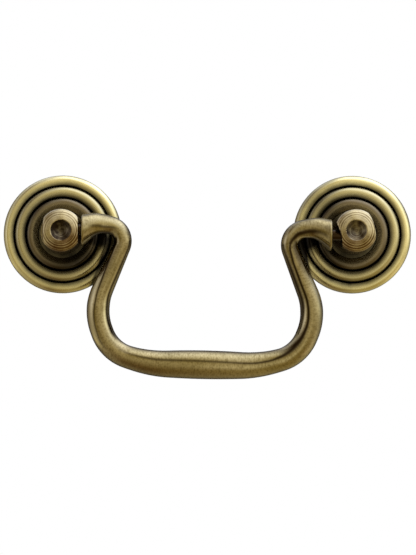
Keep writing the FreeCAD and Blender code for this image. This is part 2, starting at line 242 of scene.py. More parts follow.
rosette_brass = cast_brass()
for side, axis_x in SIDES.items():
    rings = turn_rings(rosette_profile(), axis_x, -ROSETTE_SAG, ROSETTE_SEGMENTS)
    rosette = skin(f"{side}_rosette_casting", rings, True)

    def from_axis(spot, axis_x=axis_x):
        """Distance from the rosette's axis in millimetres."""
        return math.hypot(spot.x / MM - axis_x, spot.z / MM + ROSETTE_SAG)

    def patina_and_painted_shadow(spot, side=side, axis_x=axis_x):
        """Patina in the grooves and the well, painted shadow of the bail on the beads beside and under it,
        painted shade at the foot and a darker patch at the upper left.
        """
        turn = math.degrees(math.atan2(spot.z / MM + ROSETTE_SAG, spot.x / MM - axis_x))

        def near(middle, half_width):
            return math.exp(-((((turn - middle + 180) % 360) - 180) / half_width) ** 2)

        inner = clamp((INNER_BEAD_EDGE - from_axis(spot)) / INNER_BEAD_FADE)
        (out0, z0), (out1, z1) = BESIDE_LEG[side]
        line = out0 + (out1 - out0) * (spot.z / MM - z0) / (z1 - z0)
        past_line = (spot.x / MM - axis_x) * BAIL_SIDE[side] - line
        behind_leg = clamp(LEG_LINE_SHARE + past_line / LEG_FADE) * clamp(-spot.z / MM / ARM_FADE)
        # the patina by radius, or the painted shadow of the bail's arm and leg, whichever is darker
        bare = 1 - max(
            along_steps(BATH_BY_RADIUS, from_axis(spot)),
            BESIDE_ARM_SHADOW * near(*BESIDE_ARM[side]) * inner,
            1 - (1 - near(*UNDER_ARM[side])) ** 2,
            BEHIND_LEG_SHADOW * behind_leg,
        )
        # painted shade at the foot, and a darker patch at the upper left
        for middle, half_width, share in FOOT_SHADE_AND_PATCHES[side]:
            bare *= 1 - share * near(middle, half_width)
        return 1 - bare

    paint(rosette, "bath_and_painted_shade", patina_and_painted_shadow)
    paint(rosette, "rubbing_and_painted_highlight", lambda spot: along_steps(RUBBING_BY_RADIUS, from_axis(spot)))
    rosette.data.materials.append(rosette_brass)
    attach(rosette, "mounting")
    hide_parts(f"{side}_rosette")

# POSTS
# Two brass studs turned from bar: a round foot that stands in the rosette's well, two milled flats for
# the bail's ends, a domed head with a drilled dimple, a cross hole for the bail's pin and a tapped
# hole for the screw. The right one has turned on its screw, so its flats lean.
POST_RADIUS = 5.55
POST_HEIGHT = 18.6
FOOT_CHAMFER = 0.2
DOME_RISE = 1.5
DIMPLE_RADIUS = 2.7
DIMPLE_LIP = 0.12
DIMPLE_LIP_DROP = 0.06
DRILL_SLOPE = math.tan(math.radians(59))
# the drill's point is worn round, so the dimple has a rounded floor and steeper walls than the drill's cone
DIMPLE_STEEPER = 1.2
FLAT_HALF = 4.55
FLAT_HALF_HEIGHT = 3.2
FLAT_CORNER = 0.35
FLATS_START = 7.0
FLATS_STEP = 0.001
PIVOT_HEIGHT = 13.5
TAPPED_RADIUS = 1.75
TAPPED_TOP = SEAT_HEIGHT + 7.4
CROSS_HOLE_RADIUS = 1.85
CROSS_DRILL_HALF_LENGTH = 10
CROSS_DRILL_SEGMENTS = 48
HEAD_ROUND = 0.4
HEAD_ROUND_INWARD = 1.6 * HEAD_ROUND
POST_SEGMENTS = 192
FOOT_RINGS, SIDE_RINGS, ROUND_RINGS, DOME_RINGS, DIMPLE_RINGS = 6, 24, 6, 16, 20
# how far each post stands turned, and how much its bail side and its far side bow outwards
POST_TURNS = {"left": 0.0, "right": 14.0}
FLAT_BOWS = {"left": (-0.15, 0.1), "right": (-0.45, 0.3)}
# a flat reaches only so far round the post: the least cosine of the angle from its middle
FLAT_FACING = 0.3
CUT_CREASE = math.radians(35)


def post_profile():
    """The post's half section, from the tapped hole's point round the outside to the dimple's point."""
    dome = (POST_RADIUS ** 2 + DOME_RISE ** 2) / (2 * DOME_RISE)
    shoulder = POST_HEIGHT - DOME_RISE

    def dome_height(r):
        return POST_HEIGHT - dome + math.sqrt(dome ** 2 - r ** 2)

    profile = [(0, TAPPED_TOP + TAPPED_RADIUS / DRILL_SLOPE)]
    profile += [(TAPPED_RADIUS, TAPPED_TOP), (TAPPED_RADIUS, SEAT_HEIGHT)]
    profile += [(POST_RADIUS - FOOT_CHAMFER, SEAT_HEIGHT), (POST_RADIUS, SEAT_HEIGHT + FOOT_CHAMFER)]
    foot = FLATS_START - SEAT_HEIGHT
    profile += [(POST_RADIUS, SEAT_HEIGHT + foot * i / FOOT_RINGS) for i in range(2, FOOT_RINGS + 1)]
    profile += [(POST_RADIUS, FLATS_START + FLATS_STEP)]
    rise = shoulder - HEAD_ROUND - FLATS_START
    profile += [(POST_RADIUS, FLATS_START + rise * i / SIDE_RINGS) for i in range(1, SIDE_RINGS + 1)]
    # the rolled edge between the side and the dome, then the dome in to the dimple's lip
    inner = POST_RADIUS - HEAD_ROUND_INWARD
    side_point, corner = (POST_RADIUS, shoulder - HEAD_ROUND), (POST_RADIUS, shoulder)
    dome_point = (inner, dome_height(inner))
    for share in [i / ROUND_RINGS for i in range(1, ROUND_RINGS)]:
        profile.append(tuple(
            (1 - share) ** 2 * a + 2 * share * (1 - share) * b + share ** 2 * c
            for a, b, c in zip(side_point, corner, dome_point)
        ))
    lip = DIMPLE_RADIUS + DIMPLE_LIP
    dome_radii = [inner + (lip - inner) * i / DOME_RINGS for i in range(DOME_RINGS + 1)]
    profile += [(r, dome_height(r)) for r in dome_radii]
    edge = dome_height(DIMPLE_RADIUS) - DIMPLE_LIP_DROP
    profile += [(DIMPLE_RADIUS, edge)]
    depth = DIMPLE_STEEPER * DIMPLE_RADIUS / DRILL_SLOPE
    shares = [i / DIMPLE_RINGS for i in range(1, DIMPLE_RINGS + 1)]
    profile += [(DIMPLE_RADIUS * (1 - s), edge - depth * (s - s ** 3 / 3)) for s in shares]
    return profile


def soft_min(a, b, width):
    """The lesser of two sizes, rounded off where they are alike."""
    share = clamp(0.5 + 0.5 * (b - a) / width)
    return b + (a - b) * share - width * share * (1 - share)


def post_rings(side, axis_x):
    """Rings of the post, cut back to its two flats above the foot."""
    turn = math.radians(POST_TURNS[side])
    bail_side_bow, far_side_bow = FLAT_BOWS[side]
    rings = []
    for r, h in post_profile():
        ring = []
        for i in range(POST_SEGMENTS):
            angle = 2 * math.pi * i / POST_SEGMENTS
            cosine, sine = math.cos(angle), math.sin(angle)
            radius = r
            if h > FLATS_START and r > DIMPLE_RADIUS and abs(cosine) > FLAT_FACING:
                bow = bail_side_bow if cosine * BAIL_SIDE[side] > 0 else far_side_bow
                across = min(1, abs(FLAT_HALF * sine / cosine) / FLAT_HALF_HEIGHT)
                radius = soft_min(r, (FLAT_HALF + bow * (1 - across ** 2)) / abs(cosine), FLAT_CORNER)
            x, z = radius * cosine, radius * sine
            ring.append((
                axis_x + x * math.cos(turn) - z * math.sin(turn), -h, x * math.sin(turn) + z * math.cos(turn)
            ))
        rings.append(ring)
    return rings


def carve(piece, cutter):
    """Cuts a tool's shape out of a piece and throws the tool away."""
    knife = piece.modifiers.new("carve", "BOOLEAN")
    knife.operation = "DIFFERENCE"
    knife.solver = "EXACT"
    knife.object = cutter
    depsgraph = bpy.context.evaluated_depsgraph_get()
    mesh = bpy.data.meshes.new_from_object(piece.evaluated_get(depsgraph))
    name = piece.name
    bpy.data.objects.remove(cutter)
    bpy.data.objects.remove(piece)
    return finished(name, mesh, CUT_CREASE)


# Turned antique brass: fine rings from the lathe tool about 0.15 mm apart, drawn at 0.3 mm to show, beige
# with brown marks and painted brown shade on the lower half of the head; the dimple keeps the dark bath, and
# painted shade darkens the dimple's upper left, the flats and the side below the head.
LATHE_RING = 0.3
HEAD_BLOTCH = 1.4 * MM
HEAD_GRAIN = 0.4 * MM
HEAD_BRASS = "#ad9e7a"
HEAD_BROWN_AND_SHADE = "#52391a"
HEAD_BATH_AND_SHADE = "#1a0f04"
# how dark the painted shade on the lower half of the head is, and how far it reaches round to the bail's side
HEAD_LOW_SHADE = {"left": (0.75, 0.6), "right": (0.62, 0.1)}
HEAD_SHADE_TOP = 0.5
HEAD_SHADE_FADE = 4
# the bath in the dimple, above a height that only the head reaches, and how much painted shade darkens it to
# the upper left
DIMPLE_BATH = {"left": 0.9, "right": 0.76}
DIMPLE_SHADE_SLANT = 0.1
DIMPLE_LEAST_HEIGHT = PIVOT_HEIGHT + 2
# painted shade on the side under the head and on the flats by the bail's ends begins below the shoulder, and
# is thinner on the round parts than on the flats, which begin at a share of the post's radius
SIDE_SHADE_TOP = POST_HEIGHT - DOME_RISE - 0.3
SIDE_SHADE_FADE = 1.2
ROUND_SIDE_SHADE = 0.6
FLAT_SHARE_START = 0.5
FLAT_SHARE_FADE = 0.2
# the foot's outer edge, where the painted shade is lighter
FOOT_EDGE_SHADE = 0.3
FOOT_EDGE_WIDTH = 0.1


def turned_brass():
    material, tree = new_material("turned_antique_brass")
    place = add(tree, "ShaderNodeTexCoord").outputs["Object"]
    turning = add(tree, "ShaderNodeAttribute", attribute_name="turning").outputs["Fac"]
    patina_and_shade = add(tree, "ShaderNodeAttribute", attribute_name="patina_and_shade").outputs["Fac"]
    head_shade = add(tree, "ShaderNodeAttribute", attribute_name="head_shade").outputs["Fac"]
    blotch = add(tree, "ShaderNodeTexNoise", {"Vector": place, "Scale": 1 / HEAD_BLOTCH, "Detail": 5.0})
    grain = add(tree, "ShaderNodeTexNoise", {"Vector": place, "Scale": 1 / HEAD_GRAIN, "Detail": 3.0})
    lathe = add(
        tree, "ShaderNodeTexNoise",
        {"W": turning, "Scale": 1 / LATHE_RING, "Detail": 2.0}, noise_dimensions="1D",
    )
    wander = add(tree, "ShaderNodeMapRange", {0: blotch.outputs["Fac"], 1: 0.3, 2: 0.7, 3: -0.15, 4: 0.15})
    bath_and_painted_shade = add(tree, "ShaderNodeMath", {0: patina_and_shade, 1: wander.outputs[0]}, operation="ADD", use_clamp=True)
    lines = add(tree, "ShaderNodeMapRange", {0: lathe.outputs["Fac"], 1: 0.35, 2: 0.65, 3: -0.25, 4: 0.7})
    marks = add(tree, "ShaderNodeMath", {0: lines.outputs[0], 1: wander.outputs[0]}, operation="ADD")
    # lathe marks and the painted shade on the lower head turn the brass brown
    marks_and_shade = add(tree, "ShaderNodeMath", {0: marks.outputs[0], 1: head_shade}, operation="ADD", use_clamp=True)
    brass = add(
        tree, "ShaderNodeMix",
        {0: marks_and_shade.outputs[0], 6: linear(HEAD_BRASS), 7: linear(HEAD_BROWN_AND_SHADE)}, data_type="RGBA",
    )
    toned = add(
        tree, "ShaderNodeMix",
        {0: bath_and_painted_shade.outputs[0], 6: brass.outputs[2], 7: linear(HEAD_BATH_AND_SHADE)}, data_type="RGBA",
    )
    rough = add(tree, "ShaderNodeMapRange", {0: grain.outputs["Fac"], 1: 0.3, 2: 0.7, 3: 0.24, 4: 0.36})
    ridges = add(tree, "ShaderNodeMath", {0: lathe.outputs["Fac"], 1: grain.outputs["Fac"]}, operation="ADD")
    bump = add(tree, "ShaderNodeBump", {"Height": ridges.outputs[0], "Strength": 0.3, "Distance": 0.02 * MM})
    shader = add(
        tree, "ShaderNodeBsdfPrincipled",
        {"Base Color": toned.outputs[2], "Metallic": 1.0, "Roughness": rough.outputs[0],
         "Normal": bump.outputs[0], "Coat Weight": 0.12, "Coat Roughness": 0.2},
    )
    add(tree, "ShaderNodeOutputMaterial", {"Surface": shader.outputs[0]})
    return material


post_brass = turned_brass()
for side, axis_x in SIDES.items():
    post = skin(f"{side}_post_turning", post_rings(side, axis_x))
    angles = [2 * math.pi * i / CROSS_DRILL_SEGMENTS for i in range(CROSS_DRILL_SEGMENTS)]
    drill = skin("drill", [
        [(x, CROSS_HOLE_RADIUS * math.cos(a) - PIVOT_HEIGHT, CROSS_HOLE_RADIUS * math.sin(a)) for a in angles]
        for x in (-CROSS_DRILL_HALF_LENGTH, CROSS_DRILL_HALF_LENGTH)
    ])
    closing = bmesh.new()
    closing.from_mesh(drill.data)
    bmesh.ops.holes_fill(closing, edges=closing.edges)
    bmesh.ops.recalc_face_normals(closing, faces=closing.faces)
    closing.to_mesh(drill.data)
    closing.free()
    lean = Matrix.Rotation(-math.radians(POST_TURNS[side]), 4, "Y")
    drill.data.transform(Matrix.Translation((axis_x * MM, 0, 0)) @ lean)
    post = carve(post, drill)

    def tool_travel(spot, axis_x=axis_x):
        """How far the lathe's tool has come, in millimetres: across the head, then down the side."""
        return math.hypot(spot.x / MM - axis_x, spot.z / MM) - min(0, -spot.y / MM - POST_HEIGHT + DOME_RISE)

    def dark_share(spot, side=side, axis_x=axis_x):
        """The bath in the dimple with painted shade slanting across it, and painted shade low on the side;
        the foot's outer edge is lighter.
        """
        x, h, z = spot.x / MM - axis_x, -spot.y / MM, spot.z / MM
        r = math.hypot(x, z)
        on_flat = clamp((abs(x) / POST_RADIUS - FLAT_SHARE_START) / FLAT_SHARE_FADE)
        at_foot_edge = abs(h - FLATS_START) < FOOT_EDGE_WIDTH and r > POST_RADIUS - FOOT_EDGE_WIDTH
        if at_foot_edge and on_flat and x * BAIL_SIDE[side] < 0:
            return FOOT_EDGE_SHADE
        on_side = ROUND_SIDE_SHADE + (1 - ROUND_SIDE_SHADE) * on_flat
        # painted shade on the side under the head and on the flats
        low = clamp((SIDE_SHADE_TOP - h) / SIDE_SHADE_FADE) * on_side
        # painted shade: the dimple darker towards the upper left
        hollow = DIMPLE_BATH[side] + DIMPLE_SHADE_SLANT * (z - x) / DIMPLE_RADIUS
        return max(low, hollow if r < DIMPLE_RADIUS and h > DIMPLE_LEAST_HEIGHT else 0)

    def painted_head_shade(spot, side=side, axis_x=axis_x):
        """Painted brown shade on the lower half of the head and on its side by the bail."""
        most, reach = HEAD_LOW_SHADE[side]
        to_bail = (spot.x / MM - axis_x) * BAIL_SIDE[side]
        return most * clamp((HEAD_SHADE_TOP - spot.z / MM + reach * to_bail) / HEAD_SHADE_FADE)

    paint(post, "turning", tool_travel)
    paint(post, "patina_and_shade", dark_share)
    paint(post, "head_shade", painted_head_shade)
    post.data.materials.clear()
    post.data.materials.append(post_brass)
    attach(post, "mounting")
    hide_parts(f"{side}_post")

# SCREWS
# Slotted pan-head machine screws of zinc-plated steel, put in from inside the drawer: the shank passes
# the drawer front and the rosette and runs into the post. Head and slot show only from behind.
SCREW_LENGTH = 28.6
DRAWER_FRONT = 19.0
THREAD_RADIUS = 2.08
THREAD_DEPTH = 0.42
THREAD_PITCH = 0.794
ROOT_IN_POST = 1.7
SCREW_HEAD_RADIUS = 4.1
SCREW_HEAD_HEIGHT = 2.4
SCREW_HEAD_BULGE = 0.29
SCREW_HEAD_CHAMFER = 0.1
CROWN_RADIUS = 2.95
CROWN_RINGS = 10
CROWN_SHARES = (0.66, 0.33, 0)
TIP_CHAMFER = 0.4
SLOT_WIDTH = 1.2
SLOT_DEPTH = 1.1
SAW_CLEARANCE = 0.5
SCREW_SEGMENTS = 40
RINGS_A_TURN = 8
# the thread shows from the drawer's face to just under the head, and thins out at both ends
THREAD_RELIEF = 0.3
THREAD_ROOT_START = -0.2
THREAD_END_SHARE = 0.01
# the flank's steepness, and how much of it the flat root takes
FLANK_STEEPNESS = 1.6
ROOT_SHARE = 0.2


def bulge(start, end, rise, steps):
    """Points on the arc from start to end that stands rise above the chord."""
    (r0, h0), (r1, h1) = start, end
    chord = math.hypot(r1 - r0, h1 - h0)
    radius = (chord ** 2 / 4 + rise ** 2) / (2 * rise)
    outward = ((h1 - h0) / chord, (r0 - r1) / chord)
    if outward[1] < 0:
        outward = (-outward[0], -outward[1])
    centre = [(a + b) / 2 - o * (radius - rise) for a, b, o in zip(start, end, outward)]
    first = math.atan2(h0 - centre[1], r0 - centre[0])
    last = math.atan2(h1 - centre[1], r1 - centre[0])
    angles = [first + (last - first) * i / steps for i in range(steps + 1)]
    return [(centre[0] + radius * math.cos(a), centre[1] + radius * math.sin(a)) for a in angles]


def screw_rings(axis_x):
    """Rings from the tip inside the post out along the thread and over the head."""
    tip = DRAWER_FRONT - SCREW_LENGTH
    rings = []

    def ring(y, radius_at):
        angles = [2 * math.pi * i / SCREW_SEGMENTS for i in range(SCREW_SEGMENTS)]
        return [(axis_x + radius_at(a) * math.cos(a), y, radius_at(a) * math.sin(a)) for a in angles]

    rings.append(ring(tip, lambda a: 0))
    rings.append(ring(tip, lambda a: ROOT_IN_POST - TIP_CHAMFER))
    rings.append(ring(tip + TIP_CHAMFER, lambda a: ROOT_IN_POST))
    rings.append(ring(THREAD_ROOT_START, lambda a: ROOT_IN_POST))
    threaded = DRAWER_FRONT - THREAD_RELIEF
    steps = int(threaded / THREAD_PITCH * RINGS_A_TURN)
    for i in range(steps + 1):
        y = threaded * i / steps
        run_in = min(1, y / THREAD_PITCH, (threaded - y) / THREAD_PITCH + THREAD_END_SHARE)

        def thread(a, y=y, run_in=run_in):
            phase = (y / THREAD_PITCH - a / (2 * math.pi)) % 1
            flank = clamp(FLANK_STEEPNESS * (1 - abs(2 * phase - 1)) - ROOT_SHARE)
            return THREAD_RADIUS - THREAD_DEPTH * (1 - flank * run_in)

        rings.append(ring(y, thread))
    rings.append(ring(DRAWER_FRONT, lambda a: THREAD_RADIUS - THREAD_DEPTH))
    top = DRAWER_FRONT + SCREW_HEAD_HEIGHT
    rim = (SCREW_HEAD_RADIUS, DRAWER_FRONT + SCREW_HEAD_CHAMFER)
    rings.append(ring(DRAWER_FRONT, lambda a: SCREW_HEAD_RADIUS - SCREW_HEAD_CHAMFER))
    for r, y in bulge(rim, (CROWN_RADIUS, top), SCREW_HEAD_BULGE, CROWN_RINGS):
        rings.append(ring(y, lambda a, r=r: r))
    for share in CROWN_SHARES:
        rings.append(ring(top, lambda a, share=share: CROWN_RADIUS * share))
    return rings


# Zinc-plated steel: cool grey with a faint straw cast and a fine crystalline bloom of about 0.4 mm.
ZINC_BLOOM = 0.4 * MM
ZINC_CLOUD = 3 * MM
ZINC_PALE = "#b9b8b0"
ZINC_STRAW = "#9c937c"


def zinc_plate():
    material, tree = new_material("zinc_plated_steel")
    place = add(tree, "ShaderNodeTexCoord").outputs["Object"]
    bloom = add(tree, "ShaderNodeTexVoronoi", {"Vector": place, "Scale": 1 / ZINC_BLOOM})
    cast = add(tree, "ShaderNodeTexNoise", {"Vector": place, "Scale": 1 / ZINC_CLOUD, "Detail": 4.0})
    tone = add(tree, "ShaderNodeMapRange", {0: cast.outputs["Fac"], 1: 0.35, 2: 0.65})
    plate = add(
        tree, "ShaderNodeMix",
        {0: tone.outputs[0], 6: linear(ZINC_PALE), 7: linear(ZINC_STRAW)}, data_type="RGBA",
    )
    rough = add(tree, "ShaderNodeMapRange", {0: bloom.outputs["Distance"], 1: 0.0, 2: 0.8, 3: 0.26, 4: 0.42})
    shader = add(
        tree, "ShaderNodeBsdfPrincipled",
        {"Base Color": plate.outputs[2], "Metallic": 1.0, "Roughness": rough.outputs[0]},
    )
    add(tree, "ShaderNodeOutputMaterial", {"Surface": shader.outputs[0]})
    return material


screw_zinc = zinc_plate()
for side, axis_x in SIDES.items():
    screw = skin(f"{side}_screw_thread", screw_rings(axis_x))
    slot_top = DRAWER_FRONT + SCREW_HEAD_HEIGHT + SAW_CLEARANCE
    slot_floor = DRAWER_FRONT + SCREW_HEAD_HEIGHT - SLOT_DEPTH
    saw = bpy.data.objects.new("saw", bpy.data.meshes.new("saw"))
    blade = bmesh.new()
    bmesh.ops.create_cube(blade, size=1)
    blade.transform(
        Matrix.Translation(Vector((axis_x, (slot_top + slot_floor) / 2, 0)) * MM)
        @ Matrix.Diagonal(Vector((SLOT_WIDTH, slot_top - slot_floor, 3 * SCREW_HEAD_RADIUS, 1 / MM)) * MM)
    )
    blade.to_mesh(saw.data)
    blade.free()
    bpy.context.scene.collection.objects.link(saw)
    screw = carve(screw, saw)
    screw.data.materials.clear()
    screw.data.materials.append(screw_zinc)
    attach(screw, "mounting")
    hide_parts(f"{side}_screw")

# BAIL
# One cast brass bar, bent to a swan neck: each arm flares to a flat end with a short pin that turns in
# the post's cross hole, drops at the elbow, bellies out and runs into a grip that swells in the middle.
# It hangs a little askew on its loose pins.
BAIL_MIDDLE = (-0.487, -13.5, -0.336)
BAIL_TILT = math.radians(1.144)
HALF_SPAN = 32.503
END_RIM = 0.5
END_ROUND = 0.45
PIN_RADIUS = 1.4
PIN_LENGTH = 3.36
PIN_CHAMFER = 0.3
PIN_FILLET = 0.15
END_DIAMETER = 8.2
NECK_DIAMETER = 4.6
BELLY_DIAMETER = 5.95
GRIP_DIAMETER = 7.44
# corners of the right half of the centreline as (x, z), and the bend round each
BAIL_CORNERS = [
    (HALF_SPAN - END_RIM, 0.0, 0.0),
    (HALF_SPAN - 3.85, 1.95, 6.0),
    (HALF_SPAN - 12.7, 0.65, 4.2),
    (HALF_SPAN - 3.8, -20.3, 14.0),
    (HALF_SPAN - 7.9, -31.2, 10.3),
    (14.3, -34.25, 35.0),
]
ARM_LENGTH = 9.4
LEG_START = 14.5
LEG_END = 31.0
GRIP_HALF = 20.5
BELL_POWER = 2.3
BARREL_POWER = 1.5
BAR_SEGMENTS = 144
BAR_STEP = 0.35
BEND_STEPS = 48
END_ROUND_STEPS = 8
# in millimetres: the welds between the bar and its ends
BAR_WELD = 0.01
BAR_SLIVER = 1e-5

# Cast antique brass under a satin lacquer: an olive brown with painted highlights and painted shade, brushed
# round the bar in scratches some 1 mm long and 0.1 mm wide, drawn at 0.3 mm, and a fine mottle of about 0.45
# mm.
BRUSH_WIDTH = 0.3
BRUSH_LENGTH = 1.0
BAIL_BLOTCH = 5 * MM
BAIL_MOTTLE = 0.45 * MM
BAIL_BRASS = "#867854"
BAIL_CLOUD = "#8e7f5b"
BAIL_BROWN = "#574822"
BAIL_PAINTED_HIGHLIGHT = "#c2b48a"
BAIL_PAINTED_SHADE = "#241603"
# streaks that run through places on the bar: millimetres from the right end, and -1 to 1 across the bar from
# the inside of the bow to its outside, each with the half width there and the strength. The dark streaks are
# painted shade inside the elbows and painted dark reflections along the bar; the light streaks are painted
# highlights.
PAINTED_SHADE_STREAKS = [
    [(13, 0.05, 0.12, 0.9), (15, -0.12, 0.12, 0.95), (18, -0.28, 0.1, 0.95), (24, -0.33, 0.09, 0.95),
     (30, -0.33, 0.09, 0.95), (35, -0.3, 0.1, 0.97), (38, -0.36, 0.14, 0.97), (42, -0.43, 0.2, 0.95),
     (46, -0.32, 0.15, 0.9), (50, -0.15, 0.09, 0.8), (54, -0.12, 0.08, 0.65), (60, -0.18, 0.08, 0.5),
     (68, -0.24, 0.08, 0.48), (83, -0.3, 0.09, 0.5), (88, -0.3, 0.1, 0.3), (92, -0.35, 0.1, 0)],
    [(1, 0.2, 0.12, 0.2), (5, 0.36, 0.22, 0.75), (8, 0.42, 0.28, 0.9), (11, 0.3, 0.25, 0.92),
     (13, 0.05, 0.18, 0.95)],
    [(10.5, 0.7, 0.2, 0), (13.5, 0.55, 0.3, 0.65), (17, 0.5, 0.35, 0.6), (21, 0.5, 0.3, 0.3),
     (24, 0.5, 0.2, 0)],
    [(92, 0.48, 0.05, 0), (95, 0.47, 0.06, 0.34), (100, 0.4, 0.06, 0.5), (105, 0.28, 0.06, 0.6),
     (109, 0.37, 0.06, 0.75), (112, 0.49, 0.08, 0.9), (116, 0.62, 0.1, 0.95), (121, 0.75, 0.1, 0.57),
     (124, 0.9, 0.15, 0.8), (133, 0.95, 0.12, 0.8)],
    [(13, -0.75, 0.14, 0.4), (20, -0.74, 0.16, 0.8), (30, -0.76, 0.14, 0.7), (35, -0.88, 0.1, 0.4),
     (39, -0.95, 0.1, 0)],
    [(92, -0.8, 0.1, 0), (96, -0.78, 0.08, 0.7), (104, -0.76, 0.07, 0.7), (110, -0.68, 0.09, 0.65),
     (122, -0.8, 0.12, 0.5)],
    [(109, 0.0, 0.3, 0), (115, 0.0, 0.3, 0.12), (120, 0.1, 0.3, 0.12), (123, 0.2, 0.3, 0)],
    [(124.5, -0.1, 0.1, 0), (126, 0.12, 0.13, 0.3), (127.5, 0.27, 0.14, 0.45), (129, 0.33, 0.15, 0.5),
     (130.5, 0.28, 0.15, 0.45), (132, 0.14, 0.14, 0.35), (134, -0.1, 0.1, 0)],
]
PAINTED_HIGHLIGHT_STREAKS = [
    [(93, 0.75, 0.2, 0), (97, 0.75, 0.2, 0.45), (106, 0.62, 0.2, 0.45), (112, 0.82, 0.18, 0.7),
     (118, 0.92, 0.12, 0.7), (121, 0.95, 0.1, 0)],
    [(10, 0.88, 0.12, 0), (14, 0.88, 0.12, 0.7), (22, 0.86, 0.14, 0.7), (30, 0.7, 0.15, 0.2),
     (40, 0.7, 0.15, 0.1), (44, 0.7, 0.15, 0)],
    [(25, -0.55, 0.08, 0), (31, -0.56, 0.09, 0.25), (36, -0.68, 0.1, 0.35), (41, -0.84, 0.1, 0.25),
     (44, -0.9, 0.1, 0)],
    [(92, -0.5, 0.08, 0), (98, -0.56, 0.09, 0.35), (106, -0.56, 0.09, 0.4), (114, -0.54, 0.08, 0.2),
     (120, -0.5, 0.1, 0)],
    [(8, -0.5, 0.15, 0), (11, -0.45, 0.15, 0.3), (13, -0.7, 0.15, 0.25), (16, -0.8, 0.1, 0)],
    [(122, -0.3, 0.3, 0), (126, -0.3, 0.4, 0.2), (131, -0.3, 0.4, 0.2), (134, -0.2, 0.4, 0)],
]


def streak_share(streaks, travelled, across):
    """How much of the streaks lies on a place of the bar."""
    share = 0
    for streak in streaks:
        for start, end in zip(streak, streak[1:]):
            if start[0] <= travelled < end[0]:
                part = (travelled - start[0]) / (end[0] - start[0])
                middle, half_width, strength = [a + (b - a) * part for a, b in zip(start[1:], end[1:])]
                share = max(share, 1 - (1 - strength * math.exp(-((across - middle) / half_width) ** 2)) ** 2)
    return share


def lacquered_brass():
    material, tree = new_material("lacquered_antique_brass")
    bath_and_painted_shade = add(tree, "ShaderNodeAttribute", attribute_name="bath_and_painted_shade").outputs["Fac"]
    rubbing_and_painted_highlight = add(tree, "ShaderNodeAttribute", attribute_name="rubbing_and_painted_highlight").outputs["Fac"]
    along = add(tree, "ShaderNodeAttribute", attribute_name="along_bar").outputs["Vector"]
    place = add(tree, "ShaderNodeTexCoord").outputs["Object"]
    brush_scale = (1 / BRUSH_WIDTH, 1 / BRUSH_LENGTH, 1 / BRUSH_LENGTH)
    brush_place = add(tree, "ShaderNodeVectorMath", {0: along, 1: brush_scale}, operation="MULTIPLY")
    brush = add(tree, "ShaderNodeTexNoise", {"Vector": brush_place.outputs[0], "Scale": 1.0, "Detail": 4.0})
    blotch = add(tree, "ShaderNodeTexNoise", {"Vector": place, "Scale": 1 / BAIL_BLOTCH, "Detail": 4.0})
    mottle = add(tree, "ShaderNodeTexNoise", {"Vector": place, "Scale": 1 / BAIL_MOTTLE, "Detail": 3.0})
    clouds = add(tree, "ShaderNodeMapRange", {0: blotch.outputs["Fac"], 1: 0.4, 2: 0.65})
    brass = add(
        tree, "ShaderNodeMix",
        {0: clouds.outputs[0], 6: linear(BAIL_BRASS), 7: linear(BAIL_CLOUD)}, data_type="RGBA",
    )
    grain = add(tree, "ShaderNodeMath", {0: brush.outputs["Fac"], 1: mottle.outputs["Fac"]}, operation="ADD")
    spots = add(tree, "ShaderNodeMapRange", {0: grain.outputs[0], 1: 0.9, 2: 1.3, 3: 0.0, 4: 0.65})
    mottled = add(
        tree, "ShaderNodeMix",
        {0: spots.outputs[0], 6: brass.outputs[2], 7: linear(BAIL_BROWN)}, data_type="RGBA",
    )
    rubbed_and_highlit = add(
        tree, "ShaderNodeMix", {0: rubbing_and_painted_highlight, 6: mottled.outputs[2], 7: linear(BAIL_PAINTED_HIGHLIGHT)}, data_type="RGBA"
    )
    # painted highlights, then painted shade and dark reflections, over the brass
    toned = add(
        tree, "ShaderNodeMix", {0: bath_and_painted_shade, 6: rubbed_and_highlit.outputs[2], 7: linear(BAIL_PAINTED_SHADE)}, data_type="RGBA"
    )
    rough = add(tree, "ShaderNodeMapRange", {0: brush.outputs["Fac"], 1: 0.3, 2: 0.7, 3: 0.14, 4: 0.24})
    bump = add(tree, "ShaderNodeBump", {"Height": grain.outputs[0], "Strength": 0.2, "Distance": 0.02 * MM})
    shader = add(
        tree, "ShaderNodeBsdfPrincipled",
        {"Base Color": toned.outputs[2], "Metallic": 1.0, "Roughness": rough.outputs[0],
         "Normal": bump.outputs[0], "Coat Weight": 0.1, "Coat Roughness": 0.15},
    )
    add(tree, "ShaderNodeOutputMaterial", {"Surface": shader.outputs[0]})
    return material


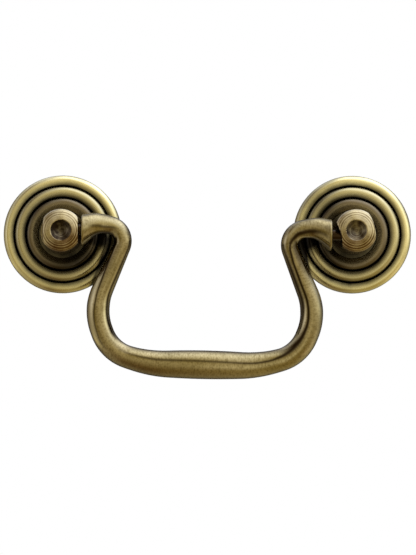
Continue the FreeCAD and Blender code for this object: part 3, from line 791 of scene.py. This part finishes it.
def swan_neck_tree():
    """Geometry nodes that round a guide's corners and draw the bar along it."""
    tree = bpy.data.node_groups.new("swan_neck_bar", "GeometryNodeTree")
    tree.interface.new_socket("Guide", in_out="INPUT", socket_type="NodeSocketGeometry")
    sizes = (
        "End Radius", "Neck Radius", "Belly Radius", "Grip Radius", "Arm Length", "Leg Start", "Leg End",
        "Grip Half", "Bell Power", "Barrel Power", "Step",
    )
    for name in sizes:
        tree.interface.new_socket(name, in_out="INPUT", socket_type="NodeSocketFloat")
    tree.interface.new_socket("Segments", in_out="INPUT", socket_type="NodeSocketInt")
    tree.interface.new_socket("Brass", in_out="INPUT", socket_type="NodeSocketMaterial")
    tree.interface.new_socket("Bar", in_out="OUTPUT", socket_type="NodeSocketGeometry")
    given = add(tree, "NodeGroupInput").outputs
    bend = add(tree, "GeometryNodeInputRadius").outputs[0]
    rounded = add(
        tree, "GeometryNodeFilletCurve",
        {"Curve": given["Guide"], "Radius": bend, "Count": BEND_STEPS, "Limit Radius": True}, mode="POLY",
    )
    line = add(
        tree, "GeometryNodeResampleCurve",
        {"Curve": rounded.outputs[0], "Length": given["Step"]}, mode="LENGTH",
    )
    # distance from the nearer end and from the middle of the grip
    travelled = add(tree, "GeometryNodeSplineParameter").outputs["Length"]
    whole = add(tree, "GeometryNodeSplineLength").outputs["Length"]
    left_to_go = add(tree, "ShaderNodeMath", {0: whole, 1: travelled}, operation="SUBTRACT").outputs[0]
    from_end = add(tree, "ShaderNodeMath", {0: travelled, 1: left_to_go}, operation="MINIMUM").outputs[0]
    half = add(tree, "ShaderNodeMath", {0: whole, 1: 0.5}, operation="MULTIPLY").outputs[0]
    from_middle = add(tree, "ShaderNodeMath", {0: half, 1: from_end}, operation="SUBTRACT").outputs[0]
    # the bell dies into the neck, the neck grows to the belly, and the grip swells
    bell_share = add(tree, "ShaderNodeMapRange", {0: from_end, 2: given["Arm Length"], 3: 1.0, 4: 0.0})
    bell = add(tree, "ShaderNodeMath", {0: bell_share.outputs[0], 1: given["Bell Power"]}, operation="POWER")
    leg = add(tree, "ShaderNodeMapRange", {0: from_end, 1: given["Leg Start"], 2: given["Leg End"]})
    grip_share = add(tree, "ShaderNodeMapRange", {0: from_middle, 2: given["Grip Half"]})
    square = add(tree, "ShaderNodeMath", {0: grip_share.outputs[0], 1: 2.0}, operation="POWER")
    hollow = add(tree, "ShaderNodeMath", {0: 1.0, 1: square.outputs[0]}, operation="SUBTRACT")
    barrel = add(tree, "ShaderNodeMath", {0: hollow.outputs[0], 1: given["Barrel Power"]}, operation="POWER")
    radius = given["Neck Radius"]
    for share, thick, thin in (
        (bell, "End Radius", "Neck Radius"), (leg, "Belly Radius", "Neck Radius"),
        (barrel, "Grip Radius", "Belly Radius"),
    ):
        height = add(tree, "ShaderNodeMath", {0: given[thick], 1: given[thin]}, operation="SUBTRACT")
        swell = {0: share.outputs[0], 1: height.outputs[0], 2: radius}
        radius = add(tree, "ShaderNodeMath", swell, operation="MULTIPLY_ADD").outputs[0]
    # what the bar's skin has to remember of its centreline
    kept = add(tree, "GeometryNodeCaptureAttribute", {"Geometry": line.outputs[0]})
    centre = add(tree, "GeometryNodeInputPosition").outputs[0]
    run = add(tree, "GeometryNodeInputTangent").outputs[0]
    for name, kind, value in (
        ("Centre", "VECTOR", centre), ("Run", "VECTOR", run),
        ("From End", "FLOAT", from_end), ("Travelled", "FLOAT", travelled),
    ):
        kept.capture_items.new(kind, name)
        tree.links.new(value, kept.inputs[name])
    circle = add(tree, "GeometryNodeCurvePrimitiveCircle", {"Resolution": given["Segments"], "Radius": 1.0})
    bar = add(
        tree, "GeometryNodeCurveToMesh",
        {"Curve": kept.outputs["Geometry"], "Profile Curve": circle.outputs[0], "Scale": radius,
         "Fill Caps": False},
    )
    # near its end the arm's section stands upright, parallel to the end face
    run_parts = add(tree, "ShaderNodeSeparateXYZ", {0: kept.outputs["Run"]})
    slope = add(tree, "ShaderNodeMath", {0: run_parts.outputs["Z"]}, operation="ARCSINE")
    upright = add(
        tree, "ShaderNodeMapRange", {0: kept.outputs["From End"], 2: given["Arm Length"], 3: -1.0, 4: 0.0}
    )
    lean = add(tree, "ShaderNodeMath", {0: slope.outputs[0], 1: upright.outputs[0]}, operation="MULTIPLY")
    spot = add(tree, "GeometryNodeInputPosition").outputs[0]
    turned = add(
        tree, "ShaderNodeVectorRotate",
        {"Vector": spot, "Center": kept.outputs["Centre"], "Axis": (0, 1, 0), "Angle": lean.outputs[0]},
    )
    stood = add(tree, "GeometryNodeSetPosition", {"Geometry": bar.outputs[0], "Position": turned.outputs[0]})
    # a place on the bar in millimetres: along it, and across it
    offset = add(tree, "ShaderNodeVectorMath", {0: spot, 1: kept.outputs["Centre"]}, operation="SUBTRACT")
    cross = add(
        tree, "ShaderNodeVectorMath", {0: kept.outputs["Run"], 1: (0, 1, 0)}, operation="CROSS_PRODUCT"
    )
    outward = add(
        tree, "ShaderNodeVectorMath", {0: offset.outputs[0], 1: cross.outputs[0]}, operation="DOT_PRODUCT"
    )
    forward = add(tree, "ShaderNodeSeparateXYZ", {0: offset.outputs[0]})
    grain = add(
        tree, "ShaderNodeCombineXYZ",
        {0: kept.outputs["Travelled"], 1: forward.outputs["Y"], 2: outward.outputs["Value"]},
    )
    marked = add(
        tree, "GeometryNodeStoreNamedAttribute",
        {"Geometry": stood.outputs[0], "Name": "along_bar", "Value": grain.outputs[0]},
        data_type="FLOAT_VECTOR", domain="POINT",
    )
    real = add(tree, "GeometryNodeRealizeInstances", {0: marked.outputs[0]})
    brass = add(tree, "GeometryNodeSetMaterial", {"Geometry": real.outputs[0], "Material": given["Brass"]})
    add(tree, "NodeGroupOutput", {0: brass.outputs[0]})
    return tree


bail_brass = lacquered_brass()
guide_curve = bpy.data.curves.new("bail_guide", "CURVE")
guide_curve.dimensions = "3D"
guide_line = guide_curve.splines.new("POLY")
both_halves = BAIL_CORNERS + [(-x, z, bend) for x, z, bend in reversed(BAIL_CORNERS)]
guide_line.points.add(len(both_halves) - 1)
for point, (x, z, bend) in zip(guide_line.points, both_halves):
    point.co = (x, 0, z, 1)
    point.radius = bend
guide = bpy.data.objects.new("bail_guide", guide_curve)
bpy.context.scene.collection.objects.link(guide)
bar_sizes = {
    "End Radius": END_DIAMETER / 2, "Neck Radius": NECK_DIAMETER / 2, "Belly Radius": BELLY_DIAMETER / 2,
    "Grip Radius": GRIP_DIAMETER / 2, "Arm Length": ARM_LENGTH, "Leg Start": LEG_START, "Leg End": LEG_END,
    "Grip Half": GRIP_HALF, "Bell Power": BELL_POWER, "Barrel Power": BARREL_POWER, "Step": BAR_STEP,
    "Segments": BAR_SEGMENTS, "Brass": bail_brass,
}
drawing = guide.modifiers.new("swan_neck_bar", "NODES")
drawing.node_group = swan_neck_tree()
for socket in drawing.node_group.interface.items_tree:
    if socket.in_out == "INPUT" and socket.name in bar_sizes:
        drawing[socket.identifier] = bar_sizes[socket.name]
depsgraph = bpy.context.evaluated_depsgraph_get()
bar_mesh = bpy.data.meshes.new_from_object(guide.evaluated_get(depsgraph))
bpy.data.objects.remove(guide)

# the two ends, turned with their pins and welded to the open bar
end_profile = [
    (0, PIN_LENGTH), (PIN_RADIUS - PIN_CHAMFER, PIN_LENGTH), (PIN_RADIUS, PIN_LENGTH - PIN_CHAMFER),
    (PIN_RADIUS, PIN_FILLET), (PIN_RADIUS + PIN_FILLET, 0.0),
]
flat = END_DIAMETER / 2 - END_ROUND
for i in range(END_ROUND_STEPS + 1):
    corner = math.pi / 2 * i / END_ROUND_STEPS
    end_profile.append((flat + END_ROUND * math.sin(corner), -END_ROUND + END_ROUND * math.cos(corner)))
end_profile.append((END_DIAMETER / 2, -END_RIM))
bail_shell = bmesh.new()
bail_shell.from_mesh(bar_mesh)
along_bar = bail_shell.verts.layers.float_vector["along_bar"]
for direction in (1, -1):
    rows = []
    for r, reach in end_profile:
        row = []
        for i in range(BAR_SEGMENTS):
            a = 2 * math.pi * i / BAR_SEGMENTS
            vertex = bail_shell.verts.new((direction * (HALF_SPAN + reach), r * math.cos(a), r * math.sin(a)))
            vertex[along_bar] = (-reach, r * math.cos(a), r * math.sin(a))
            row.append(vertex)
        rows.append(row)
    for row, after in zip(rows, rows[1:]):
        for i in range(BAR_SEGMENTS):
            j = (i + 1) % BAR_SEGMENTS
            bail_shell.faces.new((row[i], row[j], after[j], after[i]))
bmesh.ops.remove_doubles(bail_shell, verts=bail_shell.verts, dist=BAR_WELD)
bmesh.ops.dissolve_degenerate(bail_shell, edges=bail_shell.edges, dist=BAR_SLIVER)
bmesh.ops.recalc_face_normals(bail_shell, faces=bail_shell.faces)
hang = Matrix.Translation(Vector(BAIL_MIDDLE) * MM) @ Matrix.Rotation(BAIL_TILT, 4, "Y") @ Matrix.Scale(MM, 4)
bail_shell.transform(hang)
bail_shell.to_mesh(bar_mesh)
bail_shell.free()
bail = finished("bail_casting", bar_mesh)
# the pin is painted black all over, as far as its foot: painted shade in the gap beside the post
pin_shade_radius = PIN_RADIUS + 0.2
least_thickness = 0.1
bar_places = [tuple(place.vector) for place in bar_mesh.attributes["along_bar"].data]
for name, streaks in (("bath_and_painted_shade", PAINTED_SHADE_STREAKS), ("rubbing_and_painted_highlight", PAINTED_HIGHLIGHT_STREAKS)):
    layer = bar_mesh.attributes.new(name, "FLOAT", "POINT")
    for mark, (travelled, forward, outward) in zip(layer.data, bar_places):
        thickness = math.hypot(forward, outward)
        on_pin = name == "bath_and_painted_shade" and thickness < pin_shade_radius
        across = outward / max(thickness, least_thickness)
        mark.value = 1 if on_pin else streak_share(streaks, travelled, across)
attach(bail, "bail")
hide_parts("bail")

# STUDIO
# A white world with a pale floor under the pull, a softbox overhead that lights the floor, and a cloth tent
# round the pull, with softboxes and dark flags in it, which only the metal mirrors.
FLOOR_HEIGHT = -0.13
FLOOR_HALF = 0.75
FLOOR_PALE = "#e6e4df"
floor_mesh = bpy.data.meshes.new("pale_floor")
floor_signs = ((-1, -1), (1, -1), (1, 1), (-1, 1))
floor_corners = [(x * FLOOR_HALF, y * FLOOR_HALF, FLOOR_HEIGHT) for x, y in floor_signs]
floor_mesh.from_pydata(floor_corners, [], [(0, 1, 2, 3)])
floor = bpy.data.objects.new("pale_floor", floor_mesh)
bpy.context.scene.collection.objects.link(floor)
floor_paint, tree = new_material("matt_pale_paint")
shader = add(tree, "ShaderNodeBsdfPrincipled", {"Base Color": linear(FLOOR_PALE), "Roughness": 0.8})
add(tree, "ShaderNodeOutputMaterial", {"Surface": shader.outputs[0]})
floor_mesh.materials.append(floor_paint)

# the world is white to the lens and to what the metal mirrors, and lights the floor only a little
WORLD_FILL = 0.4
world = bpy.data.worlds.new("white_studio")
bpy.context.scene.world = world
world.use_nodes = True
tree = world.node_tree
tree.nodes.clear()
ray = add(tree, "ShaderNodeLightPath").outputs
seen = add(tree, "ShaderNodeMath", {0: ray["Is Camera Ray"], 1: ray["Is Glossy Ray"]}, operation="MAXIMUM")
seen = add(tree, "ShaderNodeMath", {0: seen.outputs[0], 1: ray["Is Transmission Ray"]}, operation="MAXIMUM")
strength = add(tree, "ShaderNodeMapRange", {0: seen.outputs[0], 3: WORLD_FILL, 4: 1.0})
white = add(tree, "ShaderNodeBackground", {"Color": (1, 1, 1, 1), "Strength": strength.outputs[0]})
add(tree, "ShaderNodeOutputWorld", {"Surface": white.outputs[0]})

# the light tent round the pull, and the light of its plain cloth
TENT_RADIUS = 0.9
TENT_OPENING = 168
TENT_STEP = 3
TENT_CLOTH = (0.36, 0.33, 0.30)
TENT_DARKEST = 0.02
# behind the pull the tent grows dimmer, from so many degrees away from straight ahead
TENT_BACK_START = 110
TENT_BACK_FADE = 35
TENT_BACK_DIMMING = 0.75
# softboxes and dark flags, each by the degrees that it stands to the right of straight ahead and above it,
# its half width and half height, and the light that it adds or takes; these and the cloth's light were
# fitted by least squares to what the bail mirrors in the photograph
PANELS = {
    "low_bounce": (41, -35, 84, 92, (1.29, 1.21, 0.67)),
    "lens_side": (8, -20, 7, 16, (0.80, 0.88, 0.93)),
    "top_strip": (2, 73, 13, 44, (2.20, 2.45, 2.97)),
    "upper_right_softbox": (48, 75, 33, 46, (2.68, 3.06, 4.05)),
    "right_strip": (62, 9, 35, 14, (0.93, 1.01, 1.01)),
    "left_softbox": (-63, 10, 21, 19, (0.55, 0.58, 0.75)),
    "upper_left_softbox": (-48, 109, 34, 82, (1.00, 1.17, 1.69)),
    "low_left_card": (-85, -43, 21, 10, (0.61, 0.57, 0.33)),
    "low_right_card": (63, -41, 25, 18, (0.31, 0.27, 0.31)),
    "left_flag": (-41, -1, 18, 18, (-0.43, -0.47, -0.62)),
    "upper_left_flag": (-44, 54, 16, 35, (-0.92, -1.06, -1.36)),
    "upper_flag": (0, 44, 7, 29, (-1.31, -1.54, -2.12)),
    "right_flag": (96, 11, 41, 76, (-0.60, -0.53, -0.26)),
    "low_flag": (-17, -59, 24, 51, (-0.70, -0.73, -0.54)),
    "low_right_flag": (36, -40, 35, 62, (-1.03, -1.04, -0.80)),
}


def tent_light(right, up):
    """The light from a place in the tent so many degrees to the right of straight ahead, and above it."""
    light = TENT_CLOTH
    for x, y, wide, tall, colour in PANELS.values():
        share = math.exp(-((right - x) / wide) ** 2 - ((up - y) / tall) ** 2)
        light = [level + share * part for level, part in zip(light, colour)]
    behind = clamp((math.hypot(right, up) - TENT_BACK_START) / TENT_BACK_FADE)
    return [max(TENT_DARKEST, level) * (1 - TENT_BACK_DIMMING * behind) for level in light] + [1.0]


tent_spots, tent_lights, tent_faces = [], [], []
around = 360 // TENT_STEP
for ring in range(TENT_OPENING // TENT_STEP + 1):
    away = math.radians(ring * TENT_STEP)
    for i in range(around):
        turn = math.radians(i * TENT_STEP)
        tent_spots.append(Vector((
            math.sin(away) * math.cos(turn), -math.cos(away), math.sin(away) * math.sin(turn)
        )) * TENT_RADIUS)
        right, up = math.degrees(away) * math.cos(turn), math.degrees(away) * math.sin(turn)
        tent_lights.append(tent_light(right, up))
        if ring:
            here, before = ring * around + i, (ring - 1) * around + i
            after = 1 - around if i == around - 1 else 1
            tent_faces.append((before, before + after, here + after, here))
tent_mesh = bpy.data.meshes.new("light_tent")
tent_mesh.from_pydata(tent_spots, [], tent_faces)
layer = tent_mesh.attributes.new("light", "FLOAT_COLOR", "POINT")
for place, light in zip(layer.data, tent_lights):
    place.color = light
tent = bpy.data.objects.new("light_tent", tent_mesh)
bpy.context.scene.collection.objects.link(tent)
tent_cloth, tree = new_material("lit_tent_cloth")
light = add(tree, "ShaderNodeAttribute", attribute_name="light").outputs["Color"]
lit = add(tree, "ShaderNodeEmission", {"Color": light, "Strength": 1.0})
add(tree, "ShaderNodeOutputMaterial", {"Surface": lit.outputs[0]})
tent_cloth.cycles.emission_sampling = "NONE"
tent_mesh.materials.append(tent_cloth)
tent.visible_camera = False
tent.visible_diffuse = False
tent.visible_shadow = False
floor.visible_glossy = False

LAMP_SIZE = 0.6
LAMP_WATTS = 4.0
LAMP_PLACE = Vector((-0.15, -0.2, 0.7))
lamp_data = bpy.data.lights.new("overhead_softbox", "AREA")
lamp_data.size = LAMP_SIZE
lamp_data.energy = LAMP_WATTS
lamp = bpy.data.objects.new("overhead_softbox", lamp_data)
lamp.location = LAMP_PLACE
lamp.rotation_euler = (-LAMP_PLACE).to_track_quat("-Z", "Y").to_euler()
lamp.visible_glossy = False
bpy.context.scene.collection.objects.link(lamp)

# the camera looks a little up at the pull, from just left of its middle
LENS_PLACE = Vector((-0.013662, -0.734244, -0.043591))
LENS_AIM = Vector((0.000143, 0.0, -0.011414))
SENSOR_WIDTH = 36
FOCAL_LENGTH = 180.88
camera_data = bpy.data.cameras.new("lens")
camera_data.sensor_width = SENSOR_WIDTH
camera_data.lens = FOCAL_LENGTH
camera = bpy.data.objects.new("lens", camera_data)
camera.location = LENS_PLACE
camera.rotation_euler = (LENS_AIM - LENS_PLACE).to_track_quat("-Z", "Y").to_euler()
bpy.context.scene.collection.objects.link(camera)
bpy.context.scene.camera = camera
bpy.context.scene.view_settings.view_transform = "Standard"
